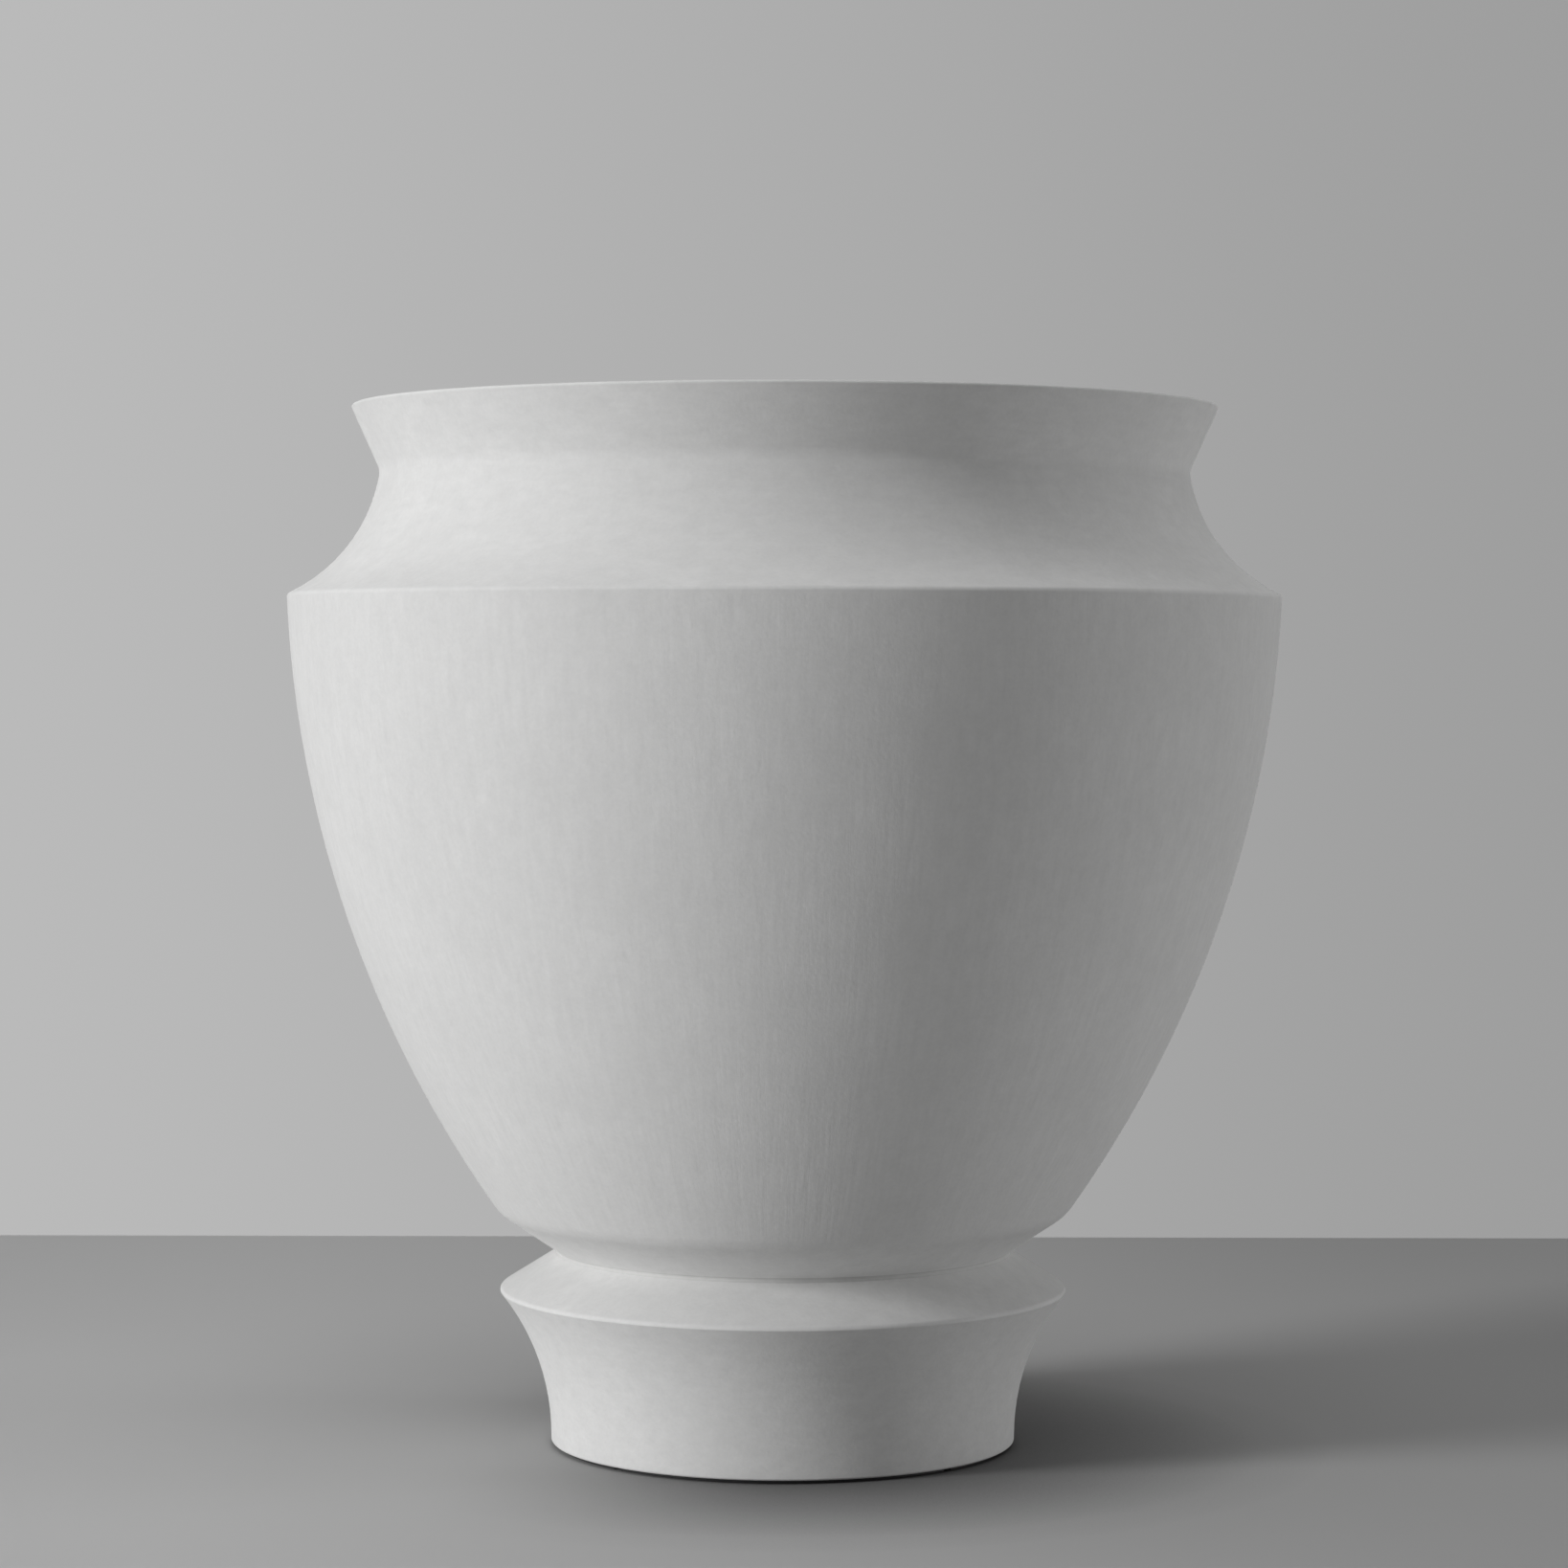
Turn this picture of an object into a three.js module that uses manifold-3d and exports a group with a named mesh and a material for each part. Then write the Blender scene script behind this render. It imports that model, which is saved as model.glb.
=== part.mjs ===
// A free-standing pedestal urn, cast in fibre-reinforced white cement as two hollow shells.
// The bowl stands on the foot with a spigot in a socket, on a rubber joint ring, and the joint is
// pointed with the same cement. A drain fitting goes down through both and its nut clamps them
// together. A rubber plug closes the drain and lifts out through the mouth, and four curved
// rubber pads under the foot hold it just off the floor.
//
// Millimetres, +Z up, origin on the floor under the middle of the urn.
import * as THREE from "three";
import { mergeVertices } from "three/addons/utils/BufferGeometryUtils.js";
import Module from "manifold-3d";

const wasm = await Module();
wasm.setup();

// Outline of the foot, from the ring that nearly meets the floor to the seat that carries the bowl.
const footBaseRadius = 143.5;
const footPlinthHeight = 3;
const footFlareHeight = 90.5;
const footEdgeRadius = 175.1;
const footEdgeHeight = 2;
const footSlopeHeight = 22.4;
const neckRadius = 139.2;

// Outline of the bowl, moulding by moulding from the neck up to the rim.
const undersideHeight = 24.4;
const bowlBaseRadius = 175.9;
const bodyHeight = 380.3;
const shoulderRadius = 305.6;
const shoulderSlopeHeight = 75.8;
const throatRadius = 248.9;
const rimFlareHeight = 39.8;
const rimRadius = 266.8;

// The templates that sweep the curved mouldings. The flare of the foot needs none: it leaves
// its plinth upright.
const bodyCurve = 703;
const neckCurve = 98.7;

// The cast edges are eased by hand before the finish goes on.
const thinEase = 0.4;
const crispEase = 1.5;
const arrisEase = 2.2;
const softEase = 4;
const bodyEdgeEase = 6;
const insideEase = 18;

// Walls of the two castings.
const bowlWall = 18;
const lipWidth = 20;
const bowlFloorThickness = 34;
const innerShoulderDrop = 11;
const footWall = 24;
const footDeckThickness = 28;
const footCeilingEase = 12;

// The joint between bowl and foot.
const jointGap = 0.3;
const spigotRadius = 60;
const spigotHeight = 10;
const socketClearance = 0.6;
const socketFloorClearance = 1;
const jointRingLand = 12;
const jointRingWidth = 24;
const jointRingDepth = 3;
const jointRingClearance = 0.4;
const pointingLeg = 2.5;
const pointingTongue = 5;

// The drain fitting, its seals and its nut.
const drainBoreRadius = 13;
const drainStemWall = 6;
const drainFlangeWidth = 13;
const drainFlangeThickness = 5;
const drainStemPastNut = 6;
const drainHoleClearance = 1;
const drainRecessClearance = 3;
const sealThickness = 3;
const sealSetBack = 1;
const nutHexHeight = 14;
const nutHexWall = 8;
const nutFlangeWidth = 17;
const nutFlangeThickness = 4;
const threadClearance = 0.3;
const edgeBreak = 1;

// The plug that closes the drain.
const plugClearance = 0.4;
const plugTaper = 0.6;
const plugDepth = 24;
const plugHeadOverlap = 6;
const plugHeadThickness = 5;
const plugGripStemRadius = 6;
const plugGripStemHeight = 9;
const plugGripRadius = 11;
const plugGripHeight = 9;

// The curved pads stuck under the foot ring, with a gap between each two for draining water.
const padCount = 4;
const padWidth = 14;
const padSetBack = 4;
const padGap = 6;
const padThickness = 2;

// Facets round the axis.
const castingSegments = 64;
const fittingSegments = 32;
const padSegments = 16;
const hexSides = 6;

// Heights above the floor that two or more pieces share.
const footBottom = padThickness;
const footEdgeBottom = footBottom + footPlinthHeight + footFlareHeight;
const footEdgeTop = footEdgeBottom + footEdgeHeight;
const seatHeight = footEdgeTop + footSlopeHeight;
const footCeiling = seatHeight - footDeckThickness;
const bowlUnderside = seatHeight + jointGap;
const bowlBaseHeight = bowlUnderside + undersideHeight;
const shoulderHeight = bowlBaseHeight + bodyHeight;
const throatHeight = shoulderHeight + shoulderSlopeHeight;
const rimHeight = throatHeight + rimFlareHeight;
const bowlFloor = bowlUnderside + bowlFloorThickness;

// Radii and heights of the drain that follow from the fitting.
const drainStemRadius = drainBoreRadius + drainStemWall;
const drainHoleRadius = drainStemRadius + drainHoleClearance;
const drainFlangeRadius = drainStemRadius + drainFlangeWidth;
const drainRecessRadius = drainFlangeRadius + drainRecessClearance;
const drainRecessFloor = bowlFloor - drainFlangeThickness - sealThickness;
const nutTop = footCeiling - sealThickness;
const nutBottom = nutTop - nutFlangeThickness - nutHexHeight;
const nutBoreRadius = drainStemRadius + threadClearance;
const drainStemBottom = nutBottom - drainStemPastNut;
const socketRadius = spigotRadius + socketClearance;
const socketFloor = bowlUnderside - spigotHeight - socketFloorClearance;

// Finishes, one for each kind of piece.
const castCement = new THREE.MeshStandardMaterial({ color: 0xe4e4e2, roughness: 0.9, metalness: 0 });
const blackRubber = new THREE.MeshStandardMaterial({ color: 0x232323, roughness: 0.85, metalness: 0 });
const greyNylon = new THREE.MeshStandardMaterial({ color: 0x5b5d5f, roughness: 0.6, metalness: 0 });

// A corner of a turned outline: how far its edge is eased and in how many facets, and the curve
// of the side that leaves it, in how many facets. A positive curve bulges to the right of the
// way the side runs, a negative one to the left, and 0 is straight.
function corner(radius, height, { ease = 0, easeFacets = 1, curve = 0, facets = 1 } = {}) {
  return { point: new THREE.Vector2(radius, height), ease, easeFacets, curve, facets };
}

// The point a share t of the way along the side from a to b, on an arc of radius `curve`.
function alongSide(a, b, curve, t) {
  if (curve === 0) return a.clone().lerp(b, t);
  const chord = b.clone().sub(a);
  const halfTurn = Math.asin(chord.length() / 2 / curve);
  const right = new THREE.Vector2(chord.y, -chord.x).normalize();
  const centre = a.clone().lerp(b, 0.5).addScaledVector(right, -curve * Math.cos(halfTurn));
  const reach = right.multiplyScalar(curve);
  return reach.rotateAround(new THREE.Vector2(0, 0), halfTurn * (2 * t - 1)).add(centre);
}

// The closed outline through a list of corners, with its arcs faceted and its corners eased.
function outline(corners) {
  const points = [];
  corners.forEach((from, i) => {
    const to = corners[(i + 1) % corners.length];
    const length = from.point.distanceTo(to.point);
    const start = from.ease / length;
    const end = 1 - to.ease / length;
    for (let step = 0; step <= from.facets; step++) {
      const t = start + ((end - start) * step) / from.facets;
      points.push(alongSide(from.point, to.point, from.curve, t));
    }
    if (to.ease > 0) {
      const next = corners[(i + 2) % corners.length];
      const leave = to.ease / to.point.distanceTo(next.point);
      const leaving = alongSide(to.point, next.point, to.curve, leave);
      const eased = new THREE.QuadraticBezierCurve(points.at(-1), to.point, leaving);
      points.push(...eased.getPoints(to.easeFacets).slice(1, -1));
    }
  });
  return points.filter((p, i) => p.distanceTo(points.at(i - 1)) > 1e-3);
}

// A solid turned round the upright axis from a closed list of corners.
function turned(corners, segments) {
  const points = outline(corners);
  points.push(points[0].clone());
  return new THREE.LatheGeometry(points, segments).rotateX(Math.PI / 2);
}

// A plain upright disc or prism between two heights.
function upright(radius, bottom, top, sides) {
  const made = new THREE.CylinderGeometry(radius, radius, top - bottom, sides);
  return made.rotateX(Math.PI / 2).translate(0, 0, (bottom + top) / 2);
}

// Geometry to solid and back, for the pieces that are cut or joined.
function solid(geometry) {
  const bare = geometry.clone();
  bare.deleteAttribute("normal");
  bare.deleteAttribute("uv");
  const merged = mergeVertices(bare, 1e-3);
  const vertProperties = new Float32Array(merged.attributes.position.array);
  const triVerts = new Uint32Array(merged.index.array);
  return new wasm.Manifold(new wasm.Mesh({ numProp: 3, vertProperties, triVerts }));
}

function geometryOf(made) {
  const { numVert, numProp, vertProperties, triVerts } = made.getMesh();
  const positions = new Float32Array(numVert * 3);
  for (let i = 0; i < numVert; i++) {
    positions.set(vertProperties.subarray(i * numProp, i * numProp + 3), i * 3);
  }
  const geometry = new THREE.BufferGeometry();
  geometry.setAttribute("position", new THREE.BufferAttribute(positions, 3));
  geometry.setIndex(new THREE.BufferAttribute(triVerts, 1));
  geometry.computeVertexNormals();
  return geometry;
}

// Bowl: spigot and underside, the outside up to the rim, then the inside down to the drain.
function bowl() {
  return turned(
    [
      corner(drainHoleRadius, bowlUnderside - spigotHeight),
      corner(spigotRadius, bowlUnderside - spigotHeight, { ease: crispEase }),
      corner(spigotRadius, bowlUnderside),
      corner(neckRadius, bowlUnderside),
      corner(bowlBaseRadius, bowlBaseHeight, {
        ease: bodyEdgeEase,
        easeFacets: 2,
        curve: bodyCurve,
        facets: 10,
      }),
      corner(shoulderRadius, shoulderHeight, { ease: arrisEase, curve: -neckCurve, facets: 7 }),
      corner(throatRadius, throatHeight, { ease: softEase }),
      corner(rimRadius, rimHeight, { ease: arrisEase }),
      corner(rimRadius - lipWidth, rimHeight, { ease: softEase }),
      corner(throatRadius - bowlWall, throatHeight, {
        ease: softEase,
        curve: neckCurve + bowlWall,
        facets: 4,
      }),
      corner(shoulderRadius - bowlWall, shoulderHeight - innerShoulderDrop, {
        ease: insideEase,
        easeFacets: 2,
        curve: bowlWall - bodyCurve,
        facets: 7,
      }),
      corner(bowlBaseRadius - bowlWall, bowlFloor, { ease: insideEase, easeFacets: 2 }),
      corner(drainRecessRadius, bowlFloor, { ease: crispEase }),
      corner(drainRecessRadius, drainRecessFloor),
      corner(drainHoleRadius, drainRecessFloor),
    ],
    castingSegments,
  );
}

// Foot: the ring near the floor, the flare, the edge, the slope, the seat with its joint ring
// groove and socket, and the hollow inside, whose wall runs alongside the flare.
function foot() {
  const plinthTop = footBottom + footPlinthHeight;
  const flareOut = footEdgeRadius - footBaseRadius;
  const flareCurve = (footFlareHeight ** 2 + flareOut ** 2) / (2 * flareOut);
  const innerCurve = flareCurve + footWall;
  const innerBase = footBaseRadius - footWall;
  const innerFlareHeight = footCeiling - plinthTop;
  const innerEdge = innerBase + innerCurve - Math.sqrt(innerCurve ** 2 - innerFlareHeight ** 2);
  const ringInner = socketRadius + jointRingLand;
  const ringOuter = ringInner + jointRingWidth + 2 * jointRingClearance;
  return turned(
    [
      corner(innerBase, footBottom, { ease: crispEase }),
      corner(footBaseRadius, footBottom, { ease: crispEase }),
      corner(footBaseRadius, plinthTop, { curve: -flareCurve, facets: 8 }),
      corner(footEdgeRadius, footEdgeBottom, { ease: thinEase }),
      corner(footEdgeRadius, footEdgeTop, { ease: crispEase }),
      corner(neckRadius, seatHeight),
      corner(ringOuter, seatHeight),
      corner(ringOuter, seatHeight - jointRingDepth),
      corner(ringInner, seatHeight - jointRingDepth),
      corner(ringInner, seatHeight),
      corner(socketRadius, seatHeight),
      corner(socketRadius, socketFloor),
      corner(drainHoleRadius, socketFloor),
      corner(drainHoleRadius, footCeiling),
      corner(innerEdge, footCeiling, { ease: footCeilingEase, easeFacets: 2, curve: innerCurve, facets: 5 }),
      corner(innerBase, plinthTop),
    ],
    castingSegments,
  );
}

// A flat ring of rubber between two radii.
function flatRing(inner, outer, bottom, top, segments) {
  const section = [corner(inner, bottom), corner(outer, bottom), corner(outer, top), corner(inner, top)];
  return turned(section, segments);
}

// The pointing is a bead of cement in the crease between the two castings, with a thin tongue
// that reaches into the gap of the joint.
function jointPointing() {
  const neckLow = new THREE.Vector2(neckRadius, seatHeight);
  const neckHigh = new THREE.Vector2(neckRadius, bowlUnderside);
  const slope = new THREE.Vector2(footEdgeRadius, footEdgeTop).sub(neckLow);
  const underside = new THREE.Vector2(bowlBaseRadius, bowlBaseHeight).sub(neckHigh);
  const low = slope.setLength(pointingLeg).add(neckLow);
  const high = underside.setLength(pointingLeg).add(neckHigh);
  return turned(
    [
      corner(neckRadius - pointingTongue, seatHeight),
      corner(neckRadius, seatHeight),
      corner(low.x, low.y),
      corner(high.x, high.y),
      corner(neckRadius, bowlUnderside),
      corner(neckRadius - pointingTongue, bowlUnderside),
    ],
    castingSegments,
  );
}

// The ring fills its groove in the seat and stands out of it by the joint's gap.
function jointRing() {
  const inner = socketRadius + jointRingLand + jointRingClearance;
  const outer = inner + jointRingWidth;
  return flatRing(inner, outer, seatHeight - jointRingDepth, bowlUnderside, castingSegments);
}

// The fitting's flange lies flush with the bowl's floor, and its threaded stem goes down
// through the nut. The mouth of the bore is eased so that water runs in.
function drainBody() {
  return turned(
    [
      corner(drainBoreRadius, drainStemBottom),
      corner(drainStemRadius, drainStemBottom, { ease: edgeBreak }),
      corner(drainStemRadius, bowlFloor - drainFlangeThickness),
      corner(drainFlangeRadius, bowlFloor - drainFlangeThickness),
      corner(drainFlangeRadius, bowlFloor, { ease: crispEase }),
      corner(drainBoreRadius, bowlFloor, { ease: edgeBreak }),
    ],
    fittingSegments,
  );
}

function upperSeal() {
  const inner = drainStemRadius + threadClearance;
  const outer = drainFlangeRadius - sealSetBack;
  return flatRing(inner, outer, drainRecessFloor, drainRecessFloor + sealThickness, fittingSegments);
}

function lowerSeal() {
  const inner = drainStemRadius + threadClearance;
  const outer = drainStemRadius + nutFlangeWidth - sealSetBack;
  return flatRing(inner, outer, nutTop, footCeiling, fittingSegments);
}

// The nut is a hexagon under a round flange, both bored for the stem.
function drainNut() {
  const acrossCorners = (nutBoreRadius + nutHexWall) / Math.cos(Math.PI / hexSides);
  const flangeBottom = nutTop - nutFlangeThickness;
  const flange = solid(upright(drainStemRadius + nutFlangeWidth, flangeBottom, nutTop, fittingSegments));
  const hexagon = solid(upright(acrossCorners, nutBottom, flangeBottom + edgeBreak, hexSides));
  const bore = solid(upright(nutBoreRadius, nutBottom - edgeBreak, nutTop + edgeBreak, fittingSegments));
  return geometryOf(flange.add(hexagon).subtract(bore));
}

// The plug tapers into the bore, its head lies on the flange, and its knob is the grip.
function drainPlug() {
  const seat = bowlFloor;
  const top = drainBoreRadius - plugClearance;
  const headTop = seat + plugHeadThickness;
  const gripBottom = headTop + plugGripStemHeight;
  const gripTop = gripBottom + plugGripHeight;
  return turned(
    [
      corner(0, seat - plugDepth),
      corner(top - plugTaper, seat - plugDepth, { ease: edgeBreak }),
      corner(top, seat),
      corner(drainBoreRadius + plugHeadOverlap, seat),
      corner(drainBoreRadius + plugHeadOverlap, headTop, { ease: crispEase }),
      corner(plugGripStemRadius, headTop, { ease: edgeBreak }),
      corner(plugGripStemRadius, gripBottom, { ease: edgeBreak }),
      corner(plugGripRadius, gripBottom, { ease: arrisEase }),
      corner(plugGripRadius, gripTop, { ease: arrisEase, easeFacets: 2 }),
      corner(0, gripTop),
    ],
    fittingSegments,
  );
}

// A pad runs a quarter of the way round the foot ring, less half a gap at each of its ends.
function footPad(index) {
  const outer = footBaseRadius - padSetBack;
  const inner = outer - padWidth;
  const middle = (index * 2 * Math.PI) / padCount;
  const halfTurn = Math.PI / padCount - padGap / (inner + outer);
  const shape = new THREE.Shape();
  shape.absarc(0, 0, outer, middle - halfTurn, middle + halfTurn, false);
  shape.absarc(0, 0, inner, middle + halfTurn, middle - halfTurn, true);
  return new THREE.ExtrudeGeometry(shape, {
    depth: padThickness,
    curveSegments: padSegments,
    bevelEnabled: false,
  });
}

function piece(name, geometry, material) {
  const mesh = new THREE.Mesh(geometry, material);
  mesh.name = name;
  return mesh;
}

const urn = new THREE.Group();
urn.add(
  piece("bowl", bowl(), castCement),
  piece("foot", foot(), castCement),
  piece("joint_ring", jointRing(), blackRubber),
  piece("joint_pointing", jointPointing(), castCement),
  piece("drain_body", drainBody(), greyNylon),
  piece("drain_upper_seal", upperSeal(), blackRubber),
  piece("drain_lower_seal", lowerSeal(), blackRubber),
  piece("drain_nut", drainNut(), greyNylon),
  piece("drain_plug", drainPlug(), blackRubber),
);
for (let i = 0; i < padCount; i++) urn.add(piece(`foot_pad_${i + 1}`, footPad(i), blackRubber));

export default urn;
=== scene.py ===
# %% [markdown]
# # A white cast urn on a pale floor
#
# This lesson dresses a pedestal urn in Blender. The urn is two hollow castings in white cement,
# a bowl and a foot, clamped together by a drain fitting. The sizes of every piece come from a
# ready model, the frame, and are never changed here. What Blender adds is the surface: edges
# eased by hand, the faint streaks that a brush leaves in a lime finish, and soft light.

# %% Tools and the frame
import math

import bmesh
import bpy
from mathutils import Matrix, Vector


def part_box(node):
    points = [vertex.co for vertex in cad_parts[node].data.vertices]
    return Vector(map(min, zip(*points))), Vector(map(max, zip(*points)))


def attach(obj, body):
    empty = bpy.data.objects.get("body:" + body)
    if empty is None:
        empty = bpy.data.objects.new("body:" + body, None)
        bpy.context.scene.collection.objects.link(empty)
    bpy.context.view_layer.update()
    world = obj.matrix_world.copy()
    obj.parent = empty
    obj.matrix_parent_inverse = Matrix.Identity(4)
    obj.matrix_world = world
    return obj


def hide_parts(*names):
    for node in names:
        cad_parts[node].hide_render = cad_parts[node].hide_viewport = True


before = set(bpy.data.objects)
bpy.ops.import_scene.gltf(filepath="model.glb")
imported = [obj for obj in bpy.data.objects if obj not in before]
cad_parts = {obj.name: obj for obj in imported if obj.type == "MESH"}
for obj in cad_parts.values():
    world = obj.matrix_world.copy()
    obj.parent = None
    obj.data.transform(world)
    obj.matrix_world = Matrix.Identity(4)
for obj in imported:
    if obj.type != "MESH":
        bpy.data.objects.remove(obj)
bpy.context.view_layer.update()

# %% [markdown]
# ## Camera
#
# The camera stands a little below the middle of the bowl and looks almost level, so the rim is
# seen from just below and the foot from above. A long lens from 2.6 m keeps the shape calm.
# It is set first, because every later choice is judged through it.

# %% Camera
CAMERA_DISTANCE = 2.649
CAMERA_HEIGHT = 0.4815
CAMERA_PITCH = math.radians(1.583)
CAMERA_ROLL = math.radians(0.119)
LENS_MM = 98.3
SENSOR_MM = 36.0

camera_data = bpy.data.cameras.new("camera")
camera_data.lens = LENS_MM
camera_data.sensor_width = SENSOR_MM
camera = bpy.data.objects.new("camera", camera_data)
level = Matrix.Rotation(math.radians(90) - CAMERA_PITCH, 4, "X")
roll = Matrix.Rotation(CAMERA_ROLL, 4, "Z")
camera.matrix_world = Matrix.Translation((0, -CAMERA_DISTANCE, CAMERA_HEIGHT)) @ level @ roll
bpy.context.scene.collection.objects.link(camera)
bpy.context.scene.camera = camera
print("Camera at", tuple(round(v, 3) for v in camera.location))

# %% [markdown]
# ## How a turned piece is made
#
# A plasterer sweeps such a shape with a template that turns about an upright axis. Blender does
# the same: a wire outline is drawn once, in the plane of X and Z, and spun round Z. The outline
# grows from one point. A straight side is that point extruded and moved, and a curved side is
# the point itself spun about the middle of its arc. The rounding of a corner is a short arc of
# the same kind. Drawing it in the outline, and not beveling the finished piece, keeps every
# rounding even all the way round.
#
# A corner is its radius, its height, how far its edge is eased, and the curve of the side that
# leaves it: a positive one bulges to the right of the way the side runs, a negative one to the
# left. It also says how bare the casting is there, from 0, washed, to 1, raw.
#
# The spin makes the same points and faces on every run, but not in the same order. Each finished
# mesh is therefore put in an order of its own, by place, so that two runs give the same meshes in the
# same order.

# %% Corners and sides
TEMPLATE_AXIS = Vector((0, -1, 0))


def corner(radius, height, ease=0.0, curve=0.0, raw=0.0):
    return {"at": Vector((radius, 0, height)), "ease": ease, "curve": curve, "raw": raw}


def arc_centre(start, end, turn):
    chord = end - start
    left = Vector((-chord.z, 0, chord.x))
    return (start + end) / 2 + left / (2 * math.tan(turn / 2))


def side_between(corner_from, corner_to):
    start, end, curve = corner_from["at"], corner_to["at"], corner_from["curve"]
    chord = end - start
    heading = math.atan2(chord.z, chord.x)
    if curve == 0:
        along = chord.normalized()
        start = start + along * corner_from["ease"]
        end = end - along * corner_to["ease"]
        return {"start": start, "end": end, "turn": 0, "leaving": heading, "arriving": heading}
    turn = 2 * math.asin(chord.length / 2 / curve)
    centre = arc_centre(start, end, turn)
    first_cut = corner_from["ease"] / curve
    last_cut = corner_to["ease"] / curve
    return {
        "start": centre + Matrix.Rotation(first_cut, 3, TEMPLATE_AXIS) @ (start - centre),
        "end": centre + Matrix.Rotation(-last_cut, 3, TEMPLATE_AXIS) @ (end - centre),
        "turn": turn - first_cut - last_cut,
        "leaving": heading - turn / 2 + first_cut,
        "arriving": heading + turn / 2 - last_cut,
    }


quarter_middle = arc_centre(Vector((1, 0, 0)), Vector((0, 0, 1)), math.pi / 2)
print("A quarter turn from radius 1 to height 1 is about", tuple(quarter_middle))

# %% Drawing an outline
ARC_STEP = 0.008
LEAST_STEPS = 3
EASE_STEPS = 5
STRAIGHT = 1e-4


def draw_to(bm, vert, end, turn=0.0, steps=1):
    if abs(turn) < STRAIGHT:
        made = bmesh.ops.extrude_vert_indiv(bm, verts=[vert])["verts"][0]
    else:
        spun = bmesh.ops.spin(
            bm,
            geom=[vert],
            cent=arc_centre(vert.co, end, turn),
            axis=TEMPLATE_AXIS,
            angle=turn,
            steps=steps,
            use_duplicate=False,
        )
        made = [item for item in spun["geom_last"] if isinstance(item, bmesh.types.BMVert)][0]
    made.co = end
    return made


def draw_outline(bm, corners):
    raw = bm.verts.layers.float.new("raw")
    starts_on_axis = corners[0]["at"].x == 0
    ends = corners[1:] if starts_on_axis else corners[1:] + corners[:1]
    sides = [side_between(a, b) for a, b in zip(corners, ends)]
    vert = bm.verts.new(sides[0]["start"])
    vert[raw] = corners[0]["raw"]
    for side, following, reached in zip(sides, sides[1:] + sides[:1], ends):
        steps = round((side["end"] - side["start"]).length / ARC_STEP)
        vert = draw_to(bm, vert, side["end"], side["turn"], steps=max(LEAST_STEPS, steps))
        vert[raw] = reached["raw"]
        if reached["ease"] > 0:
            turn = math.remainder(following["leaving"] - side["arriving"], math.tau)
            vert = draw_to(bm, vert, following["start"], turn, steps=EASE_STEPS)


# %% Turning the outline
ROUND_STEPS = 192
SMALL_ROUND_STEPS = 96
MERGE_DISTANCE = 1e-6
SMOOTH_ANGLE = math.radians(32)


def turned(name, corners, steps=ROUND_STEPS):
    bm = bmesh.new()
    draw_outline(bm, corners)
    bmesh.ops.spin(
        bm,
        geom=bm.verts[:] + bm.edges[:],
        cent=(0, 0, 0),
        axis=(0, 0, 1),
        angle=math.tau,
        steps=steps,
        use_merge=True,
        use_duplicate=False,
    )
    return finish_mesh(name, bm)


def put_in_order(items, place):
    ranks = {item: rank for rank, item in enumerate(sorted(items, key=place))}
    items.sort(key=ranks.get)
    items.index_update()


def finish_mesh(name, bm):
    bmesh.ops.remove_doubles(bm, verts=bm.verts, dist=MERGE_DISTANCE)
    bmesh.ops.recalc_face_normals(bm, faces=bm.faces)
    put_in_order(bm.verts, lambda vert: tuple(vert.co))
    for items in (bm.edges, bm.faces):
        put_in_order(items, lambda item: sorted(vert.index for vert in item.verts))
    open_edges = sum(not edge.is_manifold for edge in bm.edges)
    mesh = bpy.data.meshes.new(name)
    bm.to_mesh(mesh)
    bm.free()
    mesh.shade_smooth()
    mesh.set_sharp_from_angle(angle=SMOOTH_ANGLE)
    piece = bpy.data.objects.new(name, mesh)
    bpy.context.scene.collection.objects.link(piece)
    weighted = piece.modifiers.new("weighted_normals", "WEIGHTED_NORMAL")
    weighted.keep_sharp = True
    print(name, "has", len(mesh.polygons), "faces and", open_edges, "open edges")
    return piece


# %% [markdown]
# ## Sizes
#
# The ends of each casting are read from the frame, and the mouldings between them are the urn's
# own design. They are named once, in millimetres turned to metres, from the floor up.

# %% Sizes of the urn
MM = 0.001
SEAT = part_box("foot")[1].z
BOWL_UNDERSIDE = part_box("joint_ring")[1].z
BOWL_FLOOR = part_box("drain_body")[1].z
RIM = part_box("bowl")[1].z

NECK_RADIUS = 139.2 * MM
UNDERSIDE_HEIGHT = 24.4 * MM
BOWL_BASE_RADIUS = 175.9 * MM
BODY_HEIGHT = 380.3 * MM
BODY_CURVE = 703 * MM
SHOULDER_RADIUS = 305.6 * MM
SHOULDER_SLOPE_HEIGHT = 75.8 * MM
NECK_CURVE = 98.7 * MM
THROAT_RADIUS = 248.9 * MM
RIM_RADIUS = 266.8 * MM

THIN = 0.4 * MM
CRISP = 1.5 * MM
ARRIS = 2.2 * MM
SOFT = 4 * MM
BODY_EDGE = 6 * MM
INSIDE = 18 * MM

BOWL_BASE = BOWL_UNDERSIDE + UNDERSIDE_HEIGHT
SHOULDER = BOWL_BASE + BODY_HEIGHT
THROAT = SHOULDER + SHOULDER_SLOPE_HEIGHT
print("Base, shoulder and throat at", [round(v, 4) for v in (BOWL_BASE, SHOULDER, THROAT)])

# %% [markdown]
# ## The bowl
#
# The real bowl is one casting with a wall as thick as a finger. It could be a surface with a
# Solidify modifier, but its lip, its floor and its spigot all have their own thickness, so the
# outline goes up the outside and down the inside and is spun whole. The mason washes the outside
# and as far down the inside as a brush reaches, and leaves the rest raw.

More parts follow.
